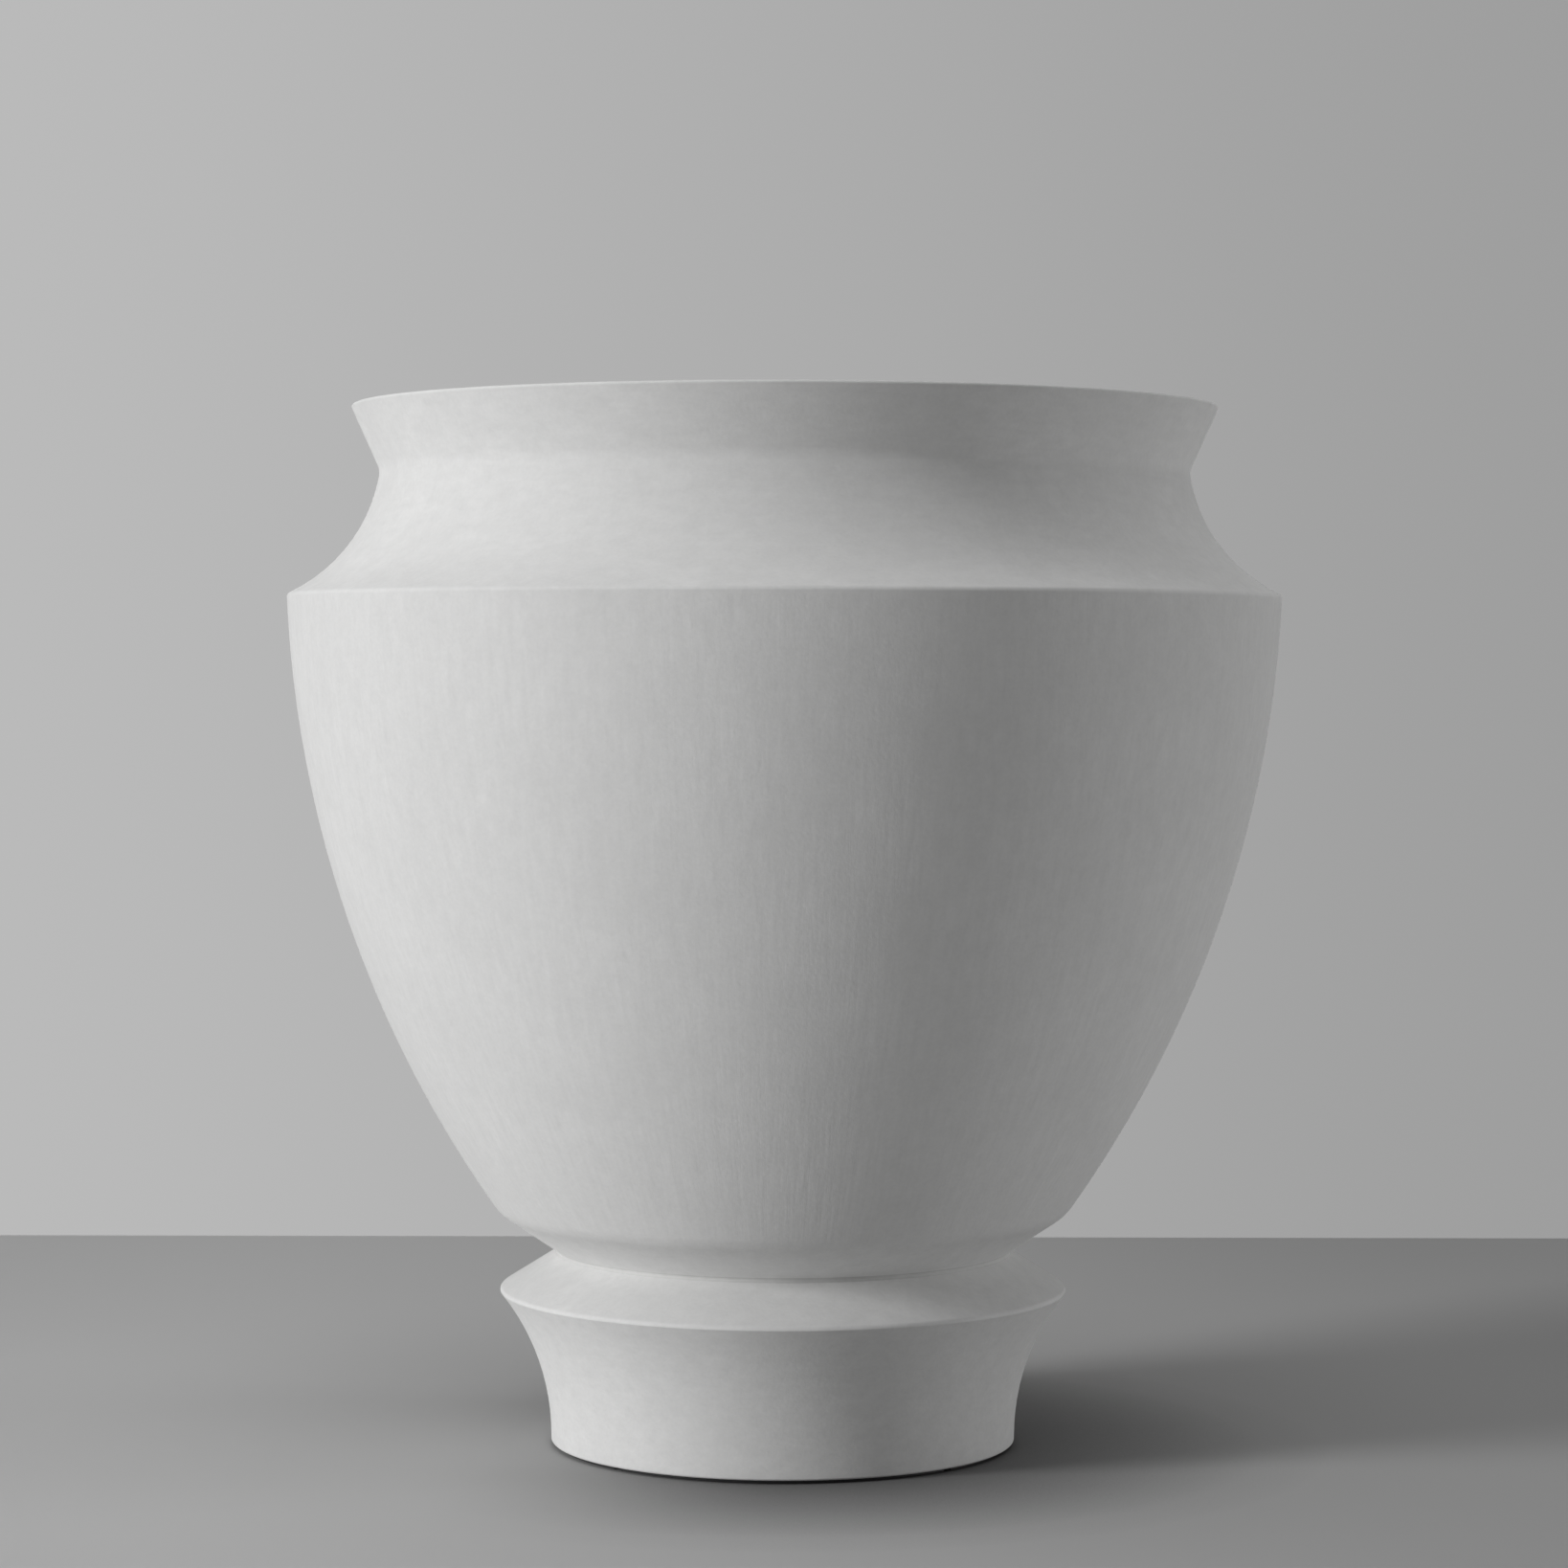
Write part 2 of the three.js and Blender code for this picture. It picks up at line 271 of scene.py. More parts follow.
# %% Bowl
BOWL_WALL = 18 * MM
LIP_WIDTH = 20 * MM
INNER_SHOULDER_DROP = 11 * MM
SPIGOT_RADIUS = 60 * MM
SPIGOT_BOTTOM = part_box("bowl")[0].z
DRAIN_HOLE_RADIUS = 20 * MM
DRAIN_RECESS_RADIUS = 35 * MM
DRAIN_RECESS_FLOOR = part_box("drain_upper_seal")[0].z

bowl = turned(
    "bowl_casting",
    [
        corner(DRAIN_HOLE_RADIUS, SPIGOT_BOTTOM, raw=1),
        corner(SPIGOT_RADIUS, SPIGOT_BOTTOM, ease=CRISP, raw=1),
        corner(SPIGOT_RADIUS, BOWL_UNDERSIDE, raw=1),
        corner(NECK_RADIUS, BOWL_UNDERSIDE),
        corner(BOWL_BASE_RADIUS, BOWL_BASE, ease=BODY_EDGE, curve=BODY_CURVE),
        corner(SHOULDER_RADIUS, SHOULDER, ease=ARRIS, curve=-NECK_CURVE),
        corner(THROAT_RADIUS, THROAT, ease=SOFT),
        corner(RIM_RADIUS, RIM, ease=ARRIS),
        corner(RIM_RADIUS - LIP_WIDTH, RIM, ease=SOFT),
        corner(THROAT_RADIUS - BOWL_WALL, THROAT, ease=SOFT, curve=NECK_CURVE + BOWL_WALL, raw=1),
        corner(
            SHOULDER_RADIUS - BOWL_WALL,
            SHOULDER - INNER_SHOULDER_DROP,
            ease=INSIDE,
            curve=BOWL_WALL - BODY_CURVE,
            raw=1,
        ),
        corner(BOWL_BASE_RADIUS - BOWL_WALL, BOWL_FLOOR, ease=INSIDE, raw=1),
        corner(DRAIN_RECESS_RADIUS, BOWL_FLOOR, ease=CRISP, raw=1),
        corner(DRAIN_RECESS_RADIUS, DRAIN_RECESS_FLOOR, raw=1),
        corner(DRAIN_HOLE_RADIUS, DRAIN_RECESS_FLOOR, raw=1),
    ],
)

# %% [markdown]
# ## The foot
#
# The foot is a second casting, hollow from below. Its flare leaves the floor upright, so the arc
# needs no template of its own: its radius follows from how far it goes out and up. The wall runs
# alongside it, on a wider arc with the same middle. Its upper edge is left nearly sharp.

# %% Foot
FOOT_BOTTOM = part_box("foot")[0].z
FOOT_BASE_RADIUS = 143.5 * MM
FOOT_PLINTH_HEIGHT = 3 * MM
FOOT_FLARE_HEIGHT = 90.5 * MM
FOOT_EDGE_RADIUS = 175.1 * MM
FOOT_EDGE_HEIGHT = 2 * MM
FOOT_WALL = 24 * MM
FOOT_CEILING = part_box("drain_lower_seal")[1].z
FOOT_CEILING_EASE = 12 * MM
GROOVE_INNER = 72.6 * MM
GROOVE_OUTER = 97.4 * MM
GROOVE_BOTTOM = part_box("joint_ring")[0].z
SOCKET_RADIUS = 60.6 * MM
SOCKET_GAP = 1 * MM
SOCKET_FLOOR = SPIGOT_BOTTOM - SOCKET_GAP

plinth_top = FOOT_BOTTOM + FOOT_PLINTH_HEIGHT
edge_bottom = plinth_top + FOOT_FLARE_HEIGHT
edge_top = edge_bottom + FOOT_EDGE_HEIGHT
flare_out = FOOT_EDGE_RADIUS - FOOT_BASE_RADIUS
flare_curve = (FOOT_FLARE_HEIGHT**2 + flare_out**2) / (2 * flare_out)
inner_curve = flare_curve + FOOT_WALL
inner_base = FOOT_BASE_RADIUS - FOOT_WALL
inner_rise = FOOT_CEILING - plinth_top
inner_edge = inner_base + inner_curve - math.sqrt(inner_curve**2 - inner_rise**2)

foot = turned(
    "foot_casting",
    [
        corner(inner_base, FOOT_BOTTOM, ease=CRISP, raw=1),
        corner(FOOT_BASE_RADIUS, FOOT_BOTTOM, ease=CRISP),
        corner(FOOT_BASE_RADIUS, plinth_top, curve=-flare_curve),
        corner(FOOT_EDGE_RADIUS, edge_bottom, ease=THIN),
        corner(FOOT_EDGE_RADIUS, edge_top, ease=CRISP),
        corner(NECK_RADIUS, SEAT),
        corner(GROOVE_OUTER, SEAT, raw=1),
        corner(GROOVE_OUTER, GROOVE_BOTTOM, raw=1),
        corner(GROOVE_INNER, GROOVE_BOTTOM, raw=1),
        corner(GROOVE_INNER, SEAT, raw=1),
        corner(SOCKET_RADIUS, SEAT, raw=1),
        corner(SOCKET_RADIUS, SOCKET_FLOOR, raw=1),
        corner(DRAIN_HOLE_RADIUS, SOCKET_FLOOR, raw=1),
        corner(DRAIN_HOLE_RADIUS, FOOT_CEILING, raw=1),
        corner(inner_edge, FOOT_CEILING, ease=FOOT_CEILING_EASE, curve=inner_curve, raw=1),
        corner(inner_base, plinth_top, raw=1),
    ],
)

# %% [markdown]
# ## The pointing
#
# Where bowl and foot meet, the mason fills the crease with the same cement and strikes it with a
# round tool. The bead touches both slopes at the same distance from the crease and is hollow
# between them, so its arc turns through what is left of half a circle.

# %% Pointing
POINTING_LEG = 2.5 * MM
POINTING_TONGUE = 5 * MM

crease_low = Vector((NECK_RADIUS, 0, SEAT))
crease_high = Vector((NECK_RADIUS, 0, BOWL_UNDERSIDE))
slope = (Vector((FOOT_EDGE_RADIUS, 0, edge_top)) - crease_low).normalized()
underside = (Vector((BOWL_BASE_RADIUS, 0, BOWL_BASE)) - crease_high).normalized()
bead_low = crease_low + slope * POINTING_LEG
bead_high = crease_high + underside * POINTING_LEG
bead_curve = (bead_high - bead_low).length / 2 / math.cos(slope.angle(underside) / 2)

pointing = turned(
    "joint_bead",
    [
        corner(NECK_RADIUS - POINTING_TONGUE, SEAT),
        corner(NECK_RADIUS, SEAT),
        corner(bead_low.x, bead_low.z, curve=-bead_curve),
        corner(bead_high.x, bead_high.z),
        corner(NECK_RADIUS, BOWL_UNDERSIDE),
        corner(NECK_RADIUS - POINTING_TONGUE, BOWL_UNDERSIDE),
    ],
)
print("The bead is struck to a radius of", round(bead_curve / MM, 2), "mm")

# %% [markdown]
# ## Rings of rubber
#
# Three flat rings are squeezed between the pieces: one in the foot's seat, one under the drain
# fitting's flange and one over its nut. Each fills the height that the frame gives it, and its
# edges bulge a little, as clamped rubber does.

# %% Rubber rings
RING_EASE = 0.8 * MM
SEAT_RING_INNER = 73 * MM
STEM_RADIUS = 19 * MM
THREAD_CLEARANCE = 0.3 * MM


def ring_section(low, high, inner, ease):
    return [
        corner(inner, low.z, ease=ease),
        corner(high.x, low.z, ease=ease),
        corner(high.x, high.z, ease=ease),
        corner(inner, high.z, ease=ease),
    ]


def rubber_ring(name, node, inner):
    low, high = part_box(node)
    return turned(name, ring_section(low, high, inner, RING_EASE))


seat_ring = rubber_ring("seat_ring", "joint_ring", SEAT_RING_INNER)
flange_washer = rubber_ring("flange_washer", "drain_upper_seal", STEM_RADIUS + THREAD_CLEARANCE)
nut_washer = rubber_ring("nut_washer", "drain_lower_seal", STEM_RADIUS + THREAD_CLEARANCE)

# %% [markdown]
# ## The drain fitting
#
# A moulded fitting goes down through both castings. Its flange lies flush with the bowl's floor,
# and its hollow stem is threaded at the lower end. The thread is one unbroken ridge: a small
# section that is spun round the stem and climbs one pitch with each turn. The same helper, with
# no climb, makes the curved pads later.

# %% Sweeping a section
def swept(name, corners, begin, sweep, steps, climb=0.0):
    bm = bmesh.new()
    draw_outline(bm, corners)
    bmesh.ops.remove_doubles(bm, verts=bm.verts, dist=MERGE_DISTANCE)
    bmesh.ops.contextual_create(bm, geom=bm.edges[:])
    bmesh.ops.rotate(bm, verts=bm.verts, cent=(0, 0, 0), matrix=Matrix.Rotation(begin, 3, "Z"))
    bmesh.ops.spin(
        bm,
        geom=bm.verts[:] + bm.edges[:] + bm.faces[:],
        cent=(0, 0, 0),
        axis=(0, 0, 1),
        dvec=(0, 0, climb / steps),
        angle=sweep,
        steps=steps,
        use_merge=False,
        use_duplicate=False,
    )
    return finish_mesh(name, bm)


# %% Drain fitting
BORE_RADIUS = 13 * MM
FLANGE_THICKNESS = 5 * MM
EDGE_BREAK = 1 * MM
THREAD_PITCH = 3 * MM
THREAD_DEPTH = 1.1 * MM
THREAD_TURNS = 7.5
THREAD_STEPS = 480
RIDGE_SINK = 0.3 * MM
RIDGE_EASE = 0.15 * MM
RIDGE_CREST = (0.3 * THREAD_PITCH, 0.5 * THREAD_PITCH)
RIDGE_WIDTH = 0.8 * THREAD_PITCH

stem_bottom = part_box("drain_body")[0].z
flange_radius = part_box("drain_body")[1].x
thread_root = STEM_RADIUS - THREAD_DEPTH
thread_top = stem_bottom + EDGE_BREAK + (THREAD_TURNS + 1) * THREAD_PITCH

fitting = turned(
    "drain_fitting",
    [
        corner(BORE_RADIUS, stem_bottom, ease=EDGE_BREAK / 2),
        corner(thread_root, stem_bottom, ease=EDGE_BREAK),
        corner(thread_root, thread_top),
        corner(STEM_RADIUS, thread_top + THREAD_DEPTH),
        corner(STEM_RADIUS, BOWL_FLOOR - FLANGE_THICKNESS, ease=EDGE_BREAK / 2),
        corner(flange_radius, BOWL_FLOOR - FLANGE_THICKNESS, ease=EDGE_BREAK / 2),
        corner(flange_radius, BOWL_FLOOR, ease=CRISP),
        corner(BORE_RADIUS, BOWL_FLOOR, ease=EDGE_BREAK),
    ],
    steps=SMALL_ROUND_STEPS,
)

ridge_foot = thread_root - RIDGE_SINK
ridge_low = stem_bottom + EDGE_BREAK
thread = swept(
    "stem_thread",
    [
        corner(ridge_foot, ridge_low),
        corner(STEM_RADIUS, ridge_low + RIDGE_CREST[0], ease=RIDGE_EASE),
        corner(STEM_RADIUS, ridge_low + RIDGE_CREST[1], ease=RIDGE_EASE),
        corner(ridge_foot, ridge_low + RIDGE_WIDTH),
    ],
    begin=0,
    sweep=THREAD_TURNS * math.tau,
    steps=THREAD_STEPS,
    climb=THREAD_TURNS * THREAD_PITCH,
)

# %% [markdown]
# ## The nut
#
# The nut is a hexagon under a round flange, with a bore for the stem. Its outline is not the same
# all the way round, so it is not spun. Six loops are laid at their heights, two of them
# hexagons cut into as many bits as the circles have, and bridged one to the next.

# %% Nut
NUT_BITS = 48
HEX_SIDES = 6
HEX_WALL = 8 * MM
NUT_FLANGE_THICKNESS = 4 * MM
NUT_BEVEL = 0.7 * MM


def loop(bm, radius, height, sides=NUT_BITS):
    before = set(bm.edges)
    made = bmesh.ops.create_circle(bm, cap_ends=False, radius=radius, segments=sides)
    bmesh.ops.translate(bm, verts=made["verts"], vec=(0, 0, height))
    if sides < NUT_BITS:
        edges = [edge for edge in bm.edges if edge not in before]
        bmesh.ops.subdivide_edges(bm, edges=edges, cuts=NUT_BITS // sides - 1)
    return [edge for edge in bm.edges if edge not in before]


def make_nut():
    low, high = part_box("drain_nut")
    bore = STEM_RADIUS + THREAD_CLEARANCE
    across_corners = (bore + HEX_WALL) / math.cos(math.pi / HEX_SIDES)
    flange_low = high.z - NUT_FLANGE_THICKNESS
    bm = bmesh.new()
    loops = [
        loop(bm, bore, low.z),
        loop(bm, across_corners, low.z, sides=HEX_SIDES),
        loop(bm, across_corners, flange_low, sides=HEX_SIDES),
        loop(bm, high.x, flange_low),
        loop(bm, high.x, high.z),
        loop(bm, bore, high.z),
    ]
    for one, following in zip(loops, loops[1:] + loops[:1]):
        bmesh.ops.bridge_loops(bm, edges=one + following)
    bmesh.ops.recalc_face_normals(bm, faces=bm.faces)
    sharp = [edge for edge in bm.edges if edge.calc_face_angle(0) > SMOOTH_ANGLE]
    bmesh.ops.bevel(
        bm,
        geom=sharp,
        offset=NUT_BEVEL,
        offset_type="OFFSET",
        segments=3,
        profile=0.5,
        affect="EDGES",
        material=-1,
    )
    return finish_mesh("flanged_nut", bm)


nut = make_nut()

# %% [markdown]
# ## The plug
#
# The plug is one piece of rubber: a tapered stopper, a head that lies on the flange, a short stem
# and a round knob to pull it out by. Its outline begins and ends on the axis, so it is left open
# there and the spin closes it at two poles.

# %% Plug
PLUG_CLEARANCE = 0.4 * MM
PLUG_TAPER = 0.6 * MM
HEAD_THICKNESS = 5 * MM
GRIP_STEM_RADIUS = 6 * MM
GRIP_STEM_HEIGHT = 9 * MM
GRIP_RADIUS = 11 * MM
GRIP_DOME = 1.2 * MM
GRIP_DOME_CURVE = 52 * MM

plug_low, plug_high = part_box("drain_plug")
plug_top_radius = BORE_RADIUS - PLUG_CLEARANCE
head_top = BOWL_FLOOR + HEAD_THICKNESS
grip_bottom = head_top + GRIP_STEM_HEIGHT
plug = turned(
    "rubber_plug",
    [
        corner(0, plug_low.z),
        corner(plug_top_radius - PLUG_TAPER, plug_low.z, ease=EDGE_BREAK),
        corner(plug_top_radius, BOWL_FLOOR),
        corner(plug_high.x, BOWL_FLOOR),
        corner(plug_high.x, head_top, ease=CRISP),
        corner(GRIP_STEM_RADIUS, head_top, ease=ARRIS),
        corner(GRIP_STEM_RADIUS, grip_bottom, ease=ARRIS),
        corner(GRIP_RADIUS, grip_bottom, ease=ARRIS),
        corner(GRIP_RADIUS, plug_high.z - GRIP_DOME, ease=ARRIS, curve=GRIP_DOME_CURVE),
        corner(0, plug_high.z),
    ],
    steps=SMALL_ROUND_STEPS,
)

# %% [markdown]
# ## The pads
#
# Four curved strips of rubber under the foot ring hold the urn two millimetres off the floor,
# which shows as a thin dark line all the way along. Water drains through the gaps between them.
# How far round a strip goes is worked out from the frame's first one, which points along X.

# %% Pads
PAD_COUNT = 4
PAD_WIDTH = 14 * MM
PAD_EASE = 0.5 * MM
PAD_STEPS = 48

pad_low, pad_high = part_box("foot_pad_1")
pad_spread = 2 * math.asin(pad_high.y / pad_high.x)
pad_section = ring_section(pad_low, pad_high, pad_high.x - PAD_WIDTH, PAD_EASE)
pads = []
for index in range(PAD_COUNT):
    begin = index * math.tau / PAD_COUNT - pad_spread / 2
    pads.append(swept(f"pad_strip_{index + 1}", pad_section, begin, pad_spread, steps=PAD_STEPS))

# %% [markdown]
# ## A finish from noise
#
# The castings are painted with a thick matt lime wash. Close to, it has four scales: clouds as
# wide as a hand, flecks where the wash dried unevenly, short broad streaks from the brush, and a
# grain like fine sand. Raw cement also has small pits, left by air against the mould. Each is
# noise on the piece's own coordinates, stretched for the streaks. The direction round the axis is
# used in place of an angle, so that the streaks meet without a seam. All of this is one node
# group with named inputs, because the wash, the raw inside and the moulded pieces use it with
# values of their own.

# %% Node helpers
def add_node(tree, kind, **settings):
    node = tree.nodes.new(kind)
    for key, value in settings.items():
        setattr(node, key, value)
    return node


def set_inputs(node, **values):
    for key, value in values.items():
        node.inputs[key.replace("_", " ")].default_value = value
    return node


def math_node(tree, operation, *values):
    node = add_node(tree, "ShaderNodeMath", operation=operation)
    for socket, value in zip(node.inputs, values):
        if isinstance(value, (int, float)):
            socket.default_value = value
        else:
            tree.links.new(value, socket)
    return node.outputs[0]


def step_between(tree, value, low, high):
    ramp = add_node(tree, "ShaderNodeMapRange", interpolation_type="SMOOTHSTEP")
    tree.links.new(value, ramp.inputs["Value"])
    set_inputs(ramp, From_Min=low, From_Max=high)
    return ramp.outputs["Result"]


def noise_on(tree, vector, scale, detail=3.0, roughness=0.55):
    noise = add_node(tree, "ShaderNodeTexNoise")
    set_inputs(noise, Scale=scale, Detail=detail, Roughness=roughness)
    tree.links.new(vector, noise.inputs["Vector"])
    return math_node(tree, "SUBTRACT", noise.outputs["Fac"], 0.5)


# %% Streaks and pits
UPRIGHT_STREAKS = (62.0, 36.0)
LEVEL_STREAKS = (14.0, 190.0)
PIT_SCALE = 130.0
PIT_WIDTH_RANGE = 0.3
PIT_WIDTH_CUT = 0.12
PIT_EDGE = 0.05


def streaks_on(tree, direction, height, scales):
    around_scale, up_scale = scales
    joined = add_node(tree, "ShaderNodeCombineXYZ")
    tree.links.new(math_node(tree, "MULTIPLY", direction["X"], around_scale), joined.inputs["X"])
    tree.links.new(math_node(tree, "MULTIPLY", direction["Y"], around_scale), joined.inputs["Y"])
    tree.links.new(math_node(tree, "MULTIPLY", height, up_scale), joined.inputs["Z"])
    return noise_on(tree, joined.outputs[0], 1.0, detail=4.0)


def pits_on(tree, place):
    cells = add_node(tree, "ShaderNodeTexVoronoi")
    set_inputs(cells, Scale=PIT_SCALE)
    tree.links.new(place, cells.inputs["Vector"])
    pick = add_node(tree, "ShaderNodeSeparateColor")
    tree.links.new(cells.outputs["Color"], pick.inputs[0])
    width = math_node(tree, "MULTIPLY_ADD", pick.outputs["Red"], PIT_WIDTH_RANGE, -PIT_WIDTH_CUT)
    inside = math_node(tree, "SUBTRACT", width, cells.outputs["Distance"])
    return step_between(tree, inside, 0.0, PIT_EDGE)


# %% Mineral finish group
CLOUD_SCALE = 16.0
FLECK_SCALE = 110.0
GRAIN_SCALE = 420.0
STREAK_PATCHES = 2.5
# The pits' colour is painted darker as well as sunk: a painted shade in the hollows.
PIT_PAINTED_SHADE = 0.35
STREAK_RELIEF = 6.0
GRAIN_RELIEF = 0.5
PIT_RELIEF = 2.0
MATT = 0.9
MATT_CHANGE = 0.1


def make_finish_group():
    number = "NodeSocketFloat"
    group = bpy.data.node_groups.new("mineral finish", "ShaderNodeTree")
    group.interface.new_socket(name="Place", in_out="INPUT", socket_type="NodeSocketVector")
    group.interface.new_socket(name="Colour", in_out="INPUT", socket_type="NodeSocketColor")
    for label in ("Clouds", "Flecks", "Streaks", "Streaks Upright", "Grain", "Pits"):
        group.interface.new_socket(name=label, in_out="INPUT", socket_type=number)
    group.interface.new_socket(name="Colour", in_out="OUTPUT", socket_type="NodeSocketColor")
    group.interface.new_socket(name="Height", in_out="OUTPUT", socket_type=number)
    group.interface.new_socket(name="Roughness", in_out="OUTPUT", socket_type=number)
    given = add_node(group, "NodeGroupInput").outputs
    result = add_node(group, "NodeGroupOutput").inputs
    links = group.links

    split = add_node(group, "ShaderNodeSeparateXYZ")
    links.new(given["Place"], split.inputs[0])
    flat = add_node(group, "ShaderNodeCombineXYZ")
    links.new(split.outputs["X"], flat.inputs["X"])
    links.new(split.outputs["Y"], flat.inputs["Y"])
    around = add_node(group, "ShaderNodeVectorMath", operation="NORMALIZE")
    links.new(flat.outputs[0], around.inputs[0])
    direction = add_node(group, "ShaderNodeSeparateXYZ")
    links.new(around.outputs[0], direction.inputs[0])

    upright = streaks_on(group, direction.outputs, split.outputs["Z"], UPRIGHT_STREAKS)
    level_streaks = streaks_on(group, direction.outputs, split.outputs["Z"], LEVEL_STREAKS)
    chosen = add_node(group, "ShaderNodeMix", data_type="FLOAT")
    links.new(given["Streaks Upright"], chosen.inputs["Factor"])
    links.new(level_streaks, chosen.inputs["A"])
    links.new(upright, chosen.inputs["B"])
    cloud = noise_on(group, given["Place"], CLOUD_SCALE, detail=4.0)
    fleck = noise_on(group, given["Place"], FLECK_SCALE, detail=3.0)
    grain = noise_on(group, given["Place"], GRAIN_SCALE, detail=3.0)
    pit = math_node(group, "MULTIPLY", pits_on(group, given["Place"]), given["Pits"])
    patchy = math_node(group, "MULTIPLY_ADD", cloud, STREAK_PATCHES, 1.0)
    streak = math_node(group, "MULTIPLY", chosen.outputs["Result"], patchy)
    streak = math_node(group, "MULTIPLY", streak, given["Streaks"])

    brightness = math_node(group, "MULTIPLY_ADD", cloud, given["Clouds"], 1.0)
    brightness = math_node(group, "MULTIPLY_ADD", fleck, given["Flecks"], brightness)
    brightness = math_node(group, "MULTIPLY_ADD", grain, given["Grain"], brightness)
    brightness = math_node(group, "ADD", brightness, streak)
    # Painted shade: the colour is darkened inside the pits.
    brightness = math_node(group, "MULTIPLY_ADD", pit, -PIT_PAINTED_SHADE, brightness)
    shaded = add_node(group, "ShaderNodeVectorMath", operation="SCALE")
    links.new(given["Colour"], shaded.inputs[0])
    links.new(brightness, shaded.inputs["Scale"])
    links.new(shaded.outputs[0], result["Colour"])

    relief = math_node(group, "MULTIPLY", grain, GRAIN_RELIEF)
    relief = math_node(group, "MULTIPLY_ADD", streak, STREAK_RELIEF, relief)
    relief = math_node(group, "MULTIPLY_ADD", pit, -PIT_RELIEF, relief)
    links.new(relief, result["Height"])
    links.new(math_node(group, "MULTIPLY_ADD", cloud, MATT_CHANGE, MATT), result["Roughness"])
    return group


finish_group = make_finish_group()
print("The group", finish_group.name, "has", len(finish_group.nodes), "nodes")


# %% Using the finish
def new_material(name):
    material = bpy.data.materials.new(name)
    material.use_nodes = True
    tree = material.node_tree
    place = add_node(tree, "ShaderNodeTexCoord").outputs["Object"]
    return material, tree, place, tree.nodes["Principled BSDF"]


def finish_node(tree, place, colour, **amounts):
    node = add_node(tree, "ShaderNodeGroup")
    node.node_tree = finish_group
    set_inputs(node, Colour=(*colour, 1), **amounts)
    tree.links.new(place, node.inputs["Place"])
    return node


RELIEF_STRENGTH = 0.3


def add_relief(tree, height, shader, depth):
    bump = add_node(tree, "ShaderNodeBump")
    set_inputs(bump, Strength=RELIEF_STRENGTH, Distance=depth)
    tree.links.new(height, bump.inputs["Height"])
    tree.links.new(bump.outputs["Normal"], shader.inputs["Normal"])


# %% [markdown]
# ## The lime wash and the raw inside
#
# The castings are lime washed outside, over the lip and down the first stretch inside. Further in
# they stay raw: greyer and pitted. The outline carried that along as a value on each point, and
# noise makes the edge of the wash as ragged as a brush leaves it. On the body the brush went up
# and down, and on the rim, the neck and the foot it went round. Which of these holds at a point
# is worked out from its height, so the material needs no map. The pointing is the same stuff,
# but its colour is painted a shade darker: a painted shade in the crease where it lies.

# %% Cast cement
LIME_WHITE = (0.79, 0.79, 0.785)
# Painted shade: the bead in the crease gets a darker white than the wash.
MORTAR_PAINTED_SHADE_WHITE = (0.63, 0.63, 0.622)
RAW_CEMENT = (0.64, 0.63, 0.605)
BODY_STARTS = (BOWL_BASE - 2 * MM, BOWL_BASE + 6 * MM)
BODY_ENDS = (SHOULDER - 6 * MM, SHOULDER + 2 * MM)
WASH_EDGE_SCALE = 45.0
WASH_EDGE_RAGGED = 0.35
WASH_EDGE = (0.49, 0.52)
CEMENT_RELIEF = 0.6 * MM
CEMENT_SPECULAR = 0.25


def make_cement(name, wash):
    material, tree, place, shader = new_material(name)
    split = add_node(tree, "ShaderNodeSeparateXYZ")
    tree.links.new(place, split.inputs[0])
    above_base = step_between(tree, split.outputs["Z"], *BODY_STARTS)
    above_shoulder = step_between(tree, split.outputs["Z"], *BODY_ENDS)
    on_body = math_node(tree, "SUBTRACT", above_base, above_shoulder)
    washed = finish_node(tree, place, wash, Clouds=0.1, Flecks=0.09, Streaks=0.11, Grain=0.1)
    bare = finish_node(tree, place, RAW_CEMENT, Clouds=0.3, Flecks=0.12, Grain=0.12, Pits=1.0)
    tree.links.new(on_body, washed.inputs["Streaks Upright"])

    raw = add_node(tree, "ShaderNodeAttribute", attribute_name="raw").outputs["Fac"]
    tufts = noise_on(tree, place, WASH_EDGE_SCALE, detail=5.0)
    ragged = math_node(tree, "MULTIPLY_ADD", tufts, WASH_EDGE_RAGGED, raw)
    is_raw = step_between(tree, ragged, *WASH_EDGE)
    for socket, kind in (("Colour", "RGBA"), ("Roughness", "FLOAT"), ("Height", "FLOAT")):
        mix = add_node(tree, "ShaderNodeMix", data_type=kind)
        ends = [item for item in mix.inputs if item.enabled]
        tree.links.new(is_raw, ends[0])
        tree.links.new(washed.outputs[socket], ends[1])
        tree.links.new(bare.outputs[socket], ends[2])
        mixed = [item for item in mix.outputs if item.enabled][0]
        if socket == "Colour":
            tree.links.new(mixed, shader.inputs["Base Color"])
        elif socket == "Roughness":
            tree.links.new(mixed, shader.inputs["Roughness"])
        else:
            add_relief(tree, mixed, shader, CEMENT_RELIEF)
    shader.inputs["Specular IOR Level"].default_value = CEMENT_SPECULAR
    return material


cement = make_cement("lime washed cement", LIME_WHITE)
# The bead's material has the shade of the crease painted into its colour.
mortar_painted_shade = make_cement("mortar with painted crease shade", MORTAR_PAINTED_SHADE_WHITE)

# %% [markdown]
# ## Rubber and nylon
#
# The small pieces are moulded: black rubber for the plug, the rings and the pads, and grey nylon
# for the drain fitting and its nut. Both have a fine even texture from the mould, which the grain
# of the same group gives, and the clouds of the group stand for handling and dust.

# %% Rubber and nylon
RUBBER_BLACK = (0.03, 0.03, 0.031)
NYLON_GREY = (0.12, 0.122, 0.126)
MOULDED_RELIEF = 0.3 * MM
WORN_CHANGE = 0.5
WORN_MIDDLE = 0.45


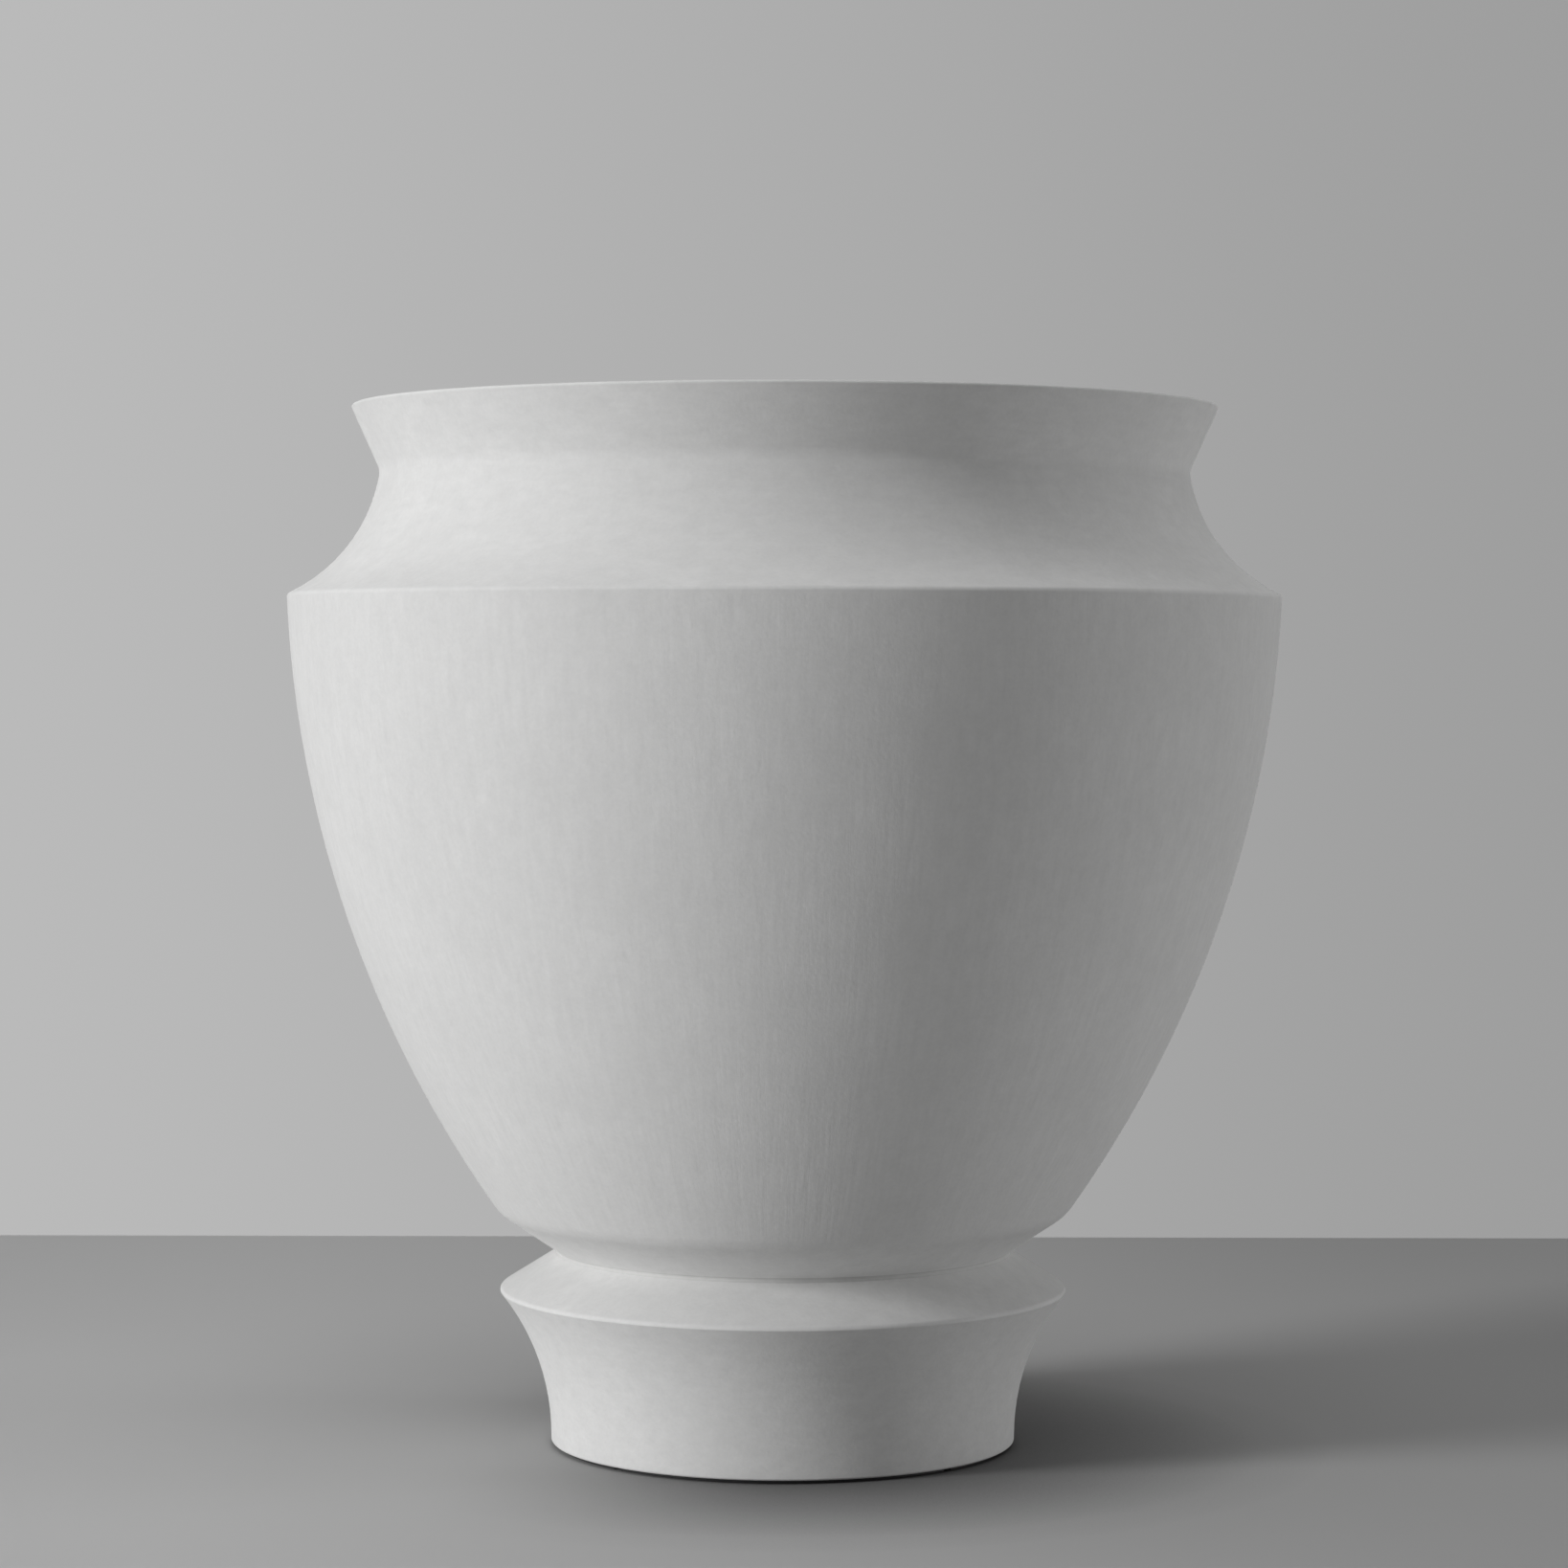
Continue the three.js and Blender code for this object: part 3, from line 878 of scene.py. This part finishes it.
def make_moulded(name, colour, roughness):
    material, tree, place, shader = new_material(name)
    finish = finish_node(tree, place, colour, Clouds=0.4, Grain=0.3)
    tree.links.new(finish.outputs["Colour"], shader.inputs["Base Color"])
    smooth = roughness - WORN_MIDDLE
    worn = math_node(tree, "MULTIPLY_ADD", finish.outputs["Roughness"], WORN_CHANGE, smooth)
    tree.links.new(worn, shader.inputs["Roughness"])
    add_relief(tree, finish.outputs["Height"], shader, MOULDED_RELIEF)
    return material


rubber = make_moulded("moulded rubber", RUBBER_BLACK, roughness=0.72)
nylon = make_moulded("grey nylon", NYLON_GREY, roughness=0.5)

# %% [markdown]
# ## Putting the pieces on the frame
#
# Each piece stands for one node of the frame and moves with that node's body. Only the plug is on
# a body of its own, so that it can be lifted out.

# %% Pieces on the frame
pieces = [
    (bowl, "bowl", cement, "cast_cement"),
    (foot, "foot", cement, "cast_cement"),
    (pointing, "joint_pointing", mortar_painted_shade, "cast_cement"),
    (seat_ring, "joint_ring", rubber, "black_rubber"),
    (flange_washer, "drain_upper_seal", rubber, "black_rubber"),
    (nut_washer, "drain_lower_seal", rubber, "black_rubber"),
    (fitting, "drain_body", nylon, "grey_nylon"),
    (thread, "drain_body", nylon, "grey_nylon"),
    (nut, "drain_nut", nylon, "grey_nylon"),
    (plug, "drain_plug", rubber, "black_rubber"),
]
for index, pad in enumerate(pads, start=1):
    pieces.append((pad, f"foot_pad_{index}", rubber, "black_rubber"))

for piece, node, material, slot in pieces:
    piece.data.materials.append(material)
    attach(piece, "plug" if piece is plug else "vessel")
    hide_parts(node)

# %% [markdown]
# ## Floor and light
#
# One tall soft light from the left, a little in front and hardly above the urn, shapes it: the
# body turns from light to shade just right of its middle. A weak wide light from the right lifts
# the far edge out of the shade, and two more from above and from high in front lift the slopes.
# The floor is a wide disc that fades out at its edge. Close round the foot a contact shade is
# painted into its colour by an ambient occlusion node, but not on the side of the big light. A
# metre behind the urn is a grey wall that only the camera sees: it glows with a tone of its own. It
# takes part in no light, its ends fade out, and its back is clear, so it never hides the urn. The
# colours of floor and wall are both painted darker to the right: a painted shade away from the big
# light.

# %% Stage helpers
def add_stage(name, bm, material):
    mesh = bpy.data.meshes.new(name)
    bm.to_mesh(mesh)
    bm.free()
    mesh.materials.append(material)
    stage = bpy.data.objects.new(name, mesh)
    bpy.context.scene.collection.objects.link(stage)
    return stage


# Paints a colour that turns from the left tone to the right tone; floor and wall use it for a painted
# shade, darker to the right.
def painted_shade_left_to_right(tree, sideways, turn, left, right):
    mix = add_node(tree, "ShaderNodeMix", data_type="RGBA")
    ends = [item for item in mix.inputs if item.enabled]
    tree.links.new(step_between(tree, sideways, *turn), ends[0])
    ends[1].default_value = left
    ends[2].default_value = right
    return [item for item in mix.outputs if item.enabled][0]


def fade_out(tree, shader_output, amount):
    clear = add_node(tree, "ShaderNodeBsdfTransparent")
    mixed = add_node(tree, "ShaderNodeMixShader")
    tree.links.new(amount, mixed.inputs[0])
    tree.links.new(shader_output, mixed.inputs[1])
    tree.links.new(clear.outputs[0], mixed.inputs[2])
    tree.links.new(mixed.outputs[0], tree.nodes["Material Output"].inputs["Surface"])


# %% Floor
FLOOR_RADIUS = 3.0
FLOOR_SEGMENTS = 128
FLOOR_FADE = (1.2, 2.4)
# The floor's colour is painted from lighter on the left to darker on the right: a painted shade away
# from the big light.
FLOOR_LEFT = (0.63, 0.63, 0.63, 1)
FLOOR_RIGHT_PAINTED_SHADE = (0.375, 0.375, 0.375, 1)
FLOOR_PAINTED_SHADE_TURN = (-0.5, 0.7)
FLOOR_ROUGHNESS = 0.9
# Reach, depth and side of the contact shade painted into the floor's colour round the foot.
PAINTED_SHADE_REACH = 0.19
PAINTED_SHADE_DEPTH = 1.7
PAINTED_SHADE_SIDE = (-0.24, 0.0)
PAINTED_SHADE_SAMPLES = 8


def make_floor_material():
    material, tree, place, shader = new_material("pale floor with painted shade")
    distance = add_node(tree, "ShaderNodeVectorMath", operation="LENGTH")
    tree.links.new(place, distance.inputs[0])
    fade = step_between(tree, distance.outputs["Value"], *FLOOR_FADE)
    split = add_node(tree, "ShaderNodeSeparateXYZ")
    tree.links.new(place, split.inputs[0])
    sideways = split.outputs["X"]
    # Painted contact shade: an ambient occlusion node darkens the floor's colour round the foot, but
    # not on the side of the big light.
    painted_shade_occlusion = add_node(tree, "ShaderNodeAmbientOcclusion", samples=PAINTED_SHADE_SAMPLES)
    set_inputs(painted_shade_occlusion, Distance=PAINTED_SHADE_REACH)
    painted_unshaded = math_node(tree, "POWER", painted_shade_occlusion.outputs["AO"], PAINTED_SHADE_DEPTH)
    painted_shade = math_node(tree, "SUBTRACT", 1.0, painted_unshaded)
    painted_shade = math_node(tree, "MULTIPLY", painted_shade, step_between(tree, sideways, *PAINTED_SHADE_SIDE))
    # Painted shade: the floor's colour darkens to the right, away from the big light.
    painted_shade_tone = painted_shade_left_to_right(tree, sideways, FLOOR_PAINTED_SHADE_TURN, FLOOR_LEFT, FLOOR_RIGHT_PAINTED_SHADE)
    shaded = add_node(tree, "ShaderNodeVectorMath", operation="SCALE")
    tree.links.new(painted_shade_tone, shaded.inputs[0])
    tree.links.new(math_node(tree, "SUBTRACT", 1.0, painted_shade), shaded.inputs["Scale"])
    tree.links.new(shaded.outputs[0], shader.inputs["Base Color"])
    shader.inputs["Roughness"].default_value = FLOOR_ROUGHNESS
    fade_out(tree, shader.outputs[0], fade)
    return material


bm = bmesh.new()
bmesh.ops.create_circle(bm, cap_ends=True, radius=FLOOR_RADIUS, segments=FLOOR_SEGMENTS)
floor = add_stage("floor", bm, make_floor_material())
print("The floor is", 2 * FLOOR_RADIUS, "m across, with", len(floor.data.vertices), "corners")

# %% Wall
WALL_DISTANCE = 0.95
WALL_HALF_LENGTH = 2.6
WALL_HALF_HEIGHT = 1.5
WALL_FADE = (1.2, 2.5)
# The wall glows, and its glow is painted from lighter on the left to darker on the right: a painted
# shade away from the big light.
WALL_LEFT = (0.5, 0.5, 0.5, 1)
WALL_RIGHT_PAINTED_SHADE = (0.335, 0.335, 0.335, 1)
WALL_PAINTED_SHADE_TURN = (-0.9, 0.9)


def make_wall_material():
    material, tree, place, shader = new_material("glowing wall grey with painted shade")
    tree.nodes.remove(shader)
    split = add_node(tree, "ShaderNodeSeparateXYZ")
    tree.links.new(place, split.inputs[0])
    sideways = split.outputs["X"]
    # Painted shade: the wall's glow darkens to the right, away from the big light.
    painted_shade_tone = painted_shade_left_to_right(tree, sideways, WALL_PAINTED_SHADE_TURN, WALL_LEFT, WALL_RIGHT_PAINTED_SHADE)
    glow = add_node(tree, "ShaderNodeEmission")
    tree.links.new(painted_shade_tone, glow.inputs["Color"])
    ends = step_between(tree, math_node(tree, "ABSOLUTE", sideways), *WALL_FADE)
    back = add_node(tree, "ShaderNodeNewGeometry").outputs["Backfacing"]
    hidden = math_node(tree, "MAXIMUM", ends, back)
    fade_out(tree, glow.outputs[0], hidden)
    return material


bm = bmesh.new()
bmesh.ops.create_grid(bm, x_segments=1, y_segments=1, size=1)
bmesh.ops.scale(bm, verts=bm.verts, vec=(WALL_HALF_LENGTH, WALL_HALF_HEIGHT, 1))
bmesh.ops.rotate(bm, verts=bm.verts, cent=(0, 0, 0), matrix=Matrix.Rotation(math.pi / 2, 3, "X"))
bmesh.ops.translate(bm, verts=bm.verts, vec=(0, WALL_DISTANCE, WALL_HALF_HEIGHT))
wall = add_stage("wall", bm, make_wall_material())
wall.visible_diffuse = False
wall.visible_glossy = False
wall.visible_transmission = False
wall.visible_shadow = False
print("The wall stands", WALL_DISTANCE, "m behind the urn's axis")

# %% Light
LIGHT_TARGET = Vector((0, 0, 0.35))
AMBIENT = 0.08


def add_area_light(name, azimuth, elevation, distance, width, height, watts):
    data = bpy.data.lights.new(name, "AREA")
    data.shape = "ELLIPSE"
    data.size = width
    data.size_y = height
    data.energy = watts
    light = bpy.data.objects.new(name, data)
    raised = Matrix.Rotation(math.radians(-elevation), 3, "X") @ Vector((0, -distance, 0))
    away = Matrix.Rotation(math.radians(azimuth), 3, "Z") @ raised
    facing = away.to_track_quat("Z", "Y").to_matrix().to_4x4()
    light.matrix_world = Matrix.Translation(LIGHT_TARGET + away) @ facing
    light.visible_camera = False
    bpy.context.scene.collection.objects.link(light)
    print(name, "stands at", tuple(round(v, 2) for v in light.location))


add_area_light("key_light", azimuth=-65, elevation=14, distance=7.0, width=1.5, height=4.0, watts=350)
add_area_light("right_fill", azimuth=90, elevation=5, distance=3.2, width=1.2, height=1.2, watts=23)
add_area_light("top_fill", azimuth=0, elevation=88, distance=3.0, width=2.4, height=2.4, watts=20)
add_area_light("front_fill", azimuth=0, elevation=60, distance=3.0, width=1.5, height=1.5, watts=4)

# %% World
BACKDROP_GREY = (0.42, 0.42, 0.42, 1)

world = bpy.data.worlds.new("studio")
world.use_nodes = True
bpy.context.scene.world = world
tree = world.node_tree
path = add_node(tree, "ShaderNodeLightPath")
seen = math_node(tree, "MAXIMUM", path.outputs["Is Camera Ray"], path.outputs["Is Transmission Ray"])
seen = math_node(tree, "MAXIMUM", seen, path.outputs["Is Glossy Ray"])
ambient = tree.nodes["Background"]
ambient.inputs["Color"].default_value = (1, 1, 1, 1)
ambient.inputs["Strength"].default_value = AMBIENT
shown = add_node(tree, "ShaderNodeBackground")
shown.inputs["Color"].default_value = BACKDROP_GREY
mixed = add_node(tree, "ShaderNodeMixShader")
tree.links.new(seen, mixed.inputs[0])
tree.links.new(ambient.outputs[0], mixed.inputs[1])
tree.links.new(shown.outputs[0], mixed.inputs[2])
tree.links.new(mixed.outputs[0], tree.nodes["World Output"].inputs["Surface"])

# %% [markdown]
# ## Done
#
# The Standard view shows colours as they were chosen.

# %% Finish
bpy.context.scene.view_settings.view_transform = "Standard"
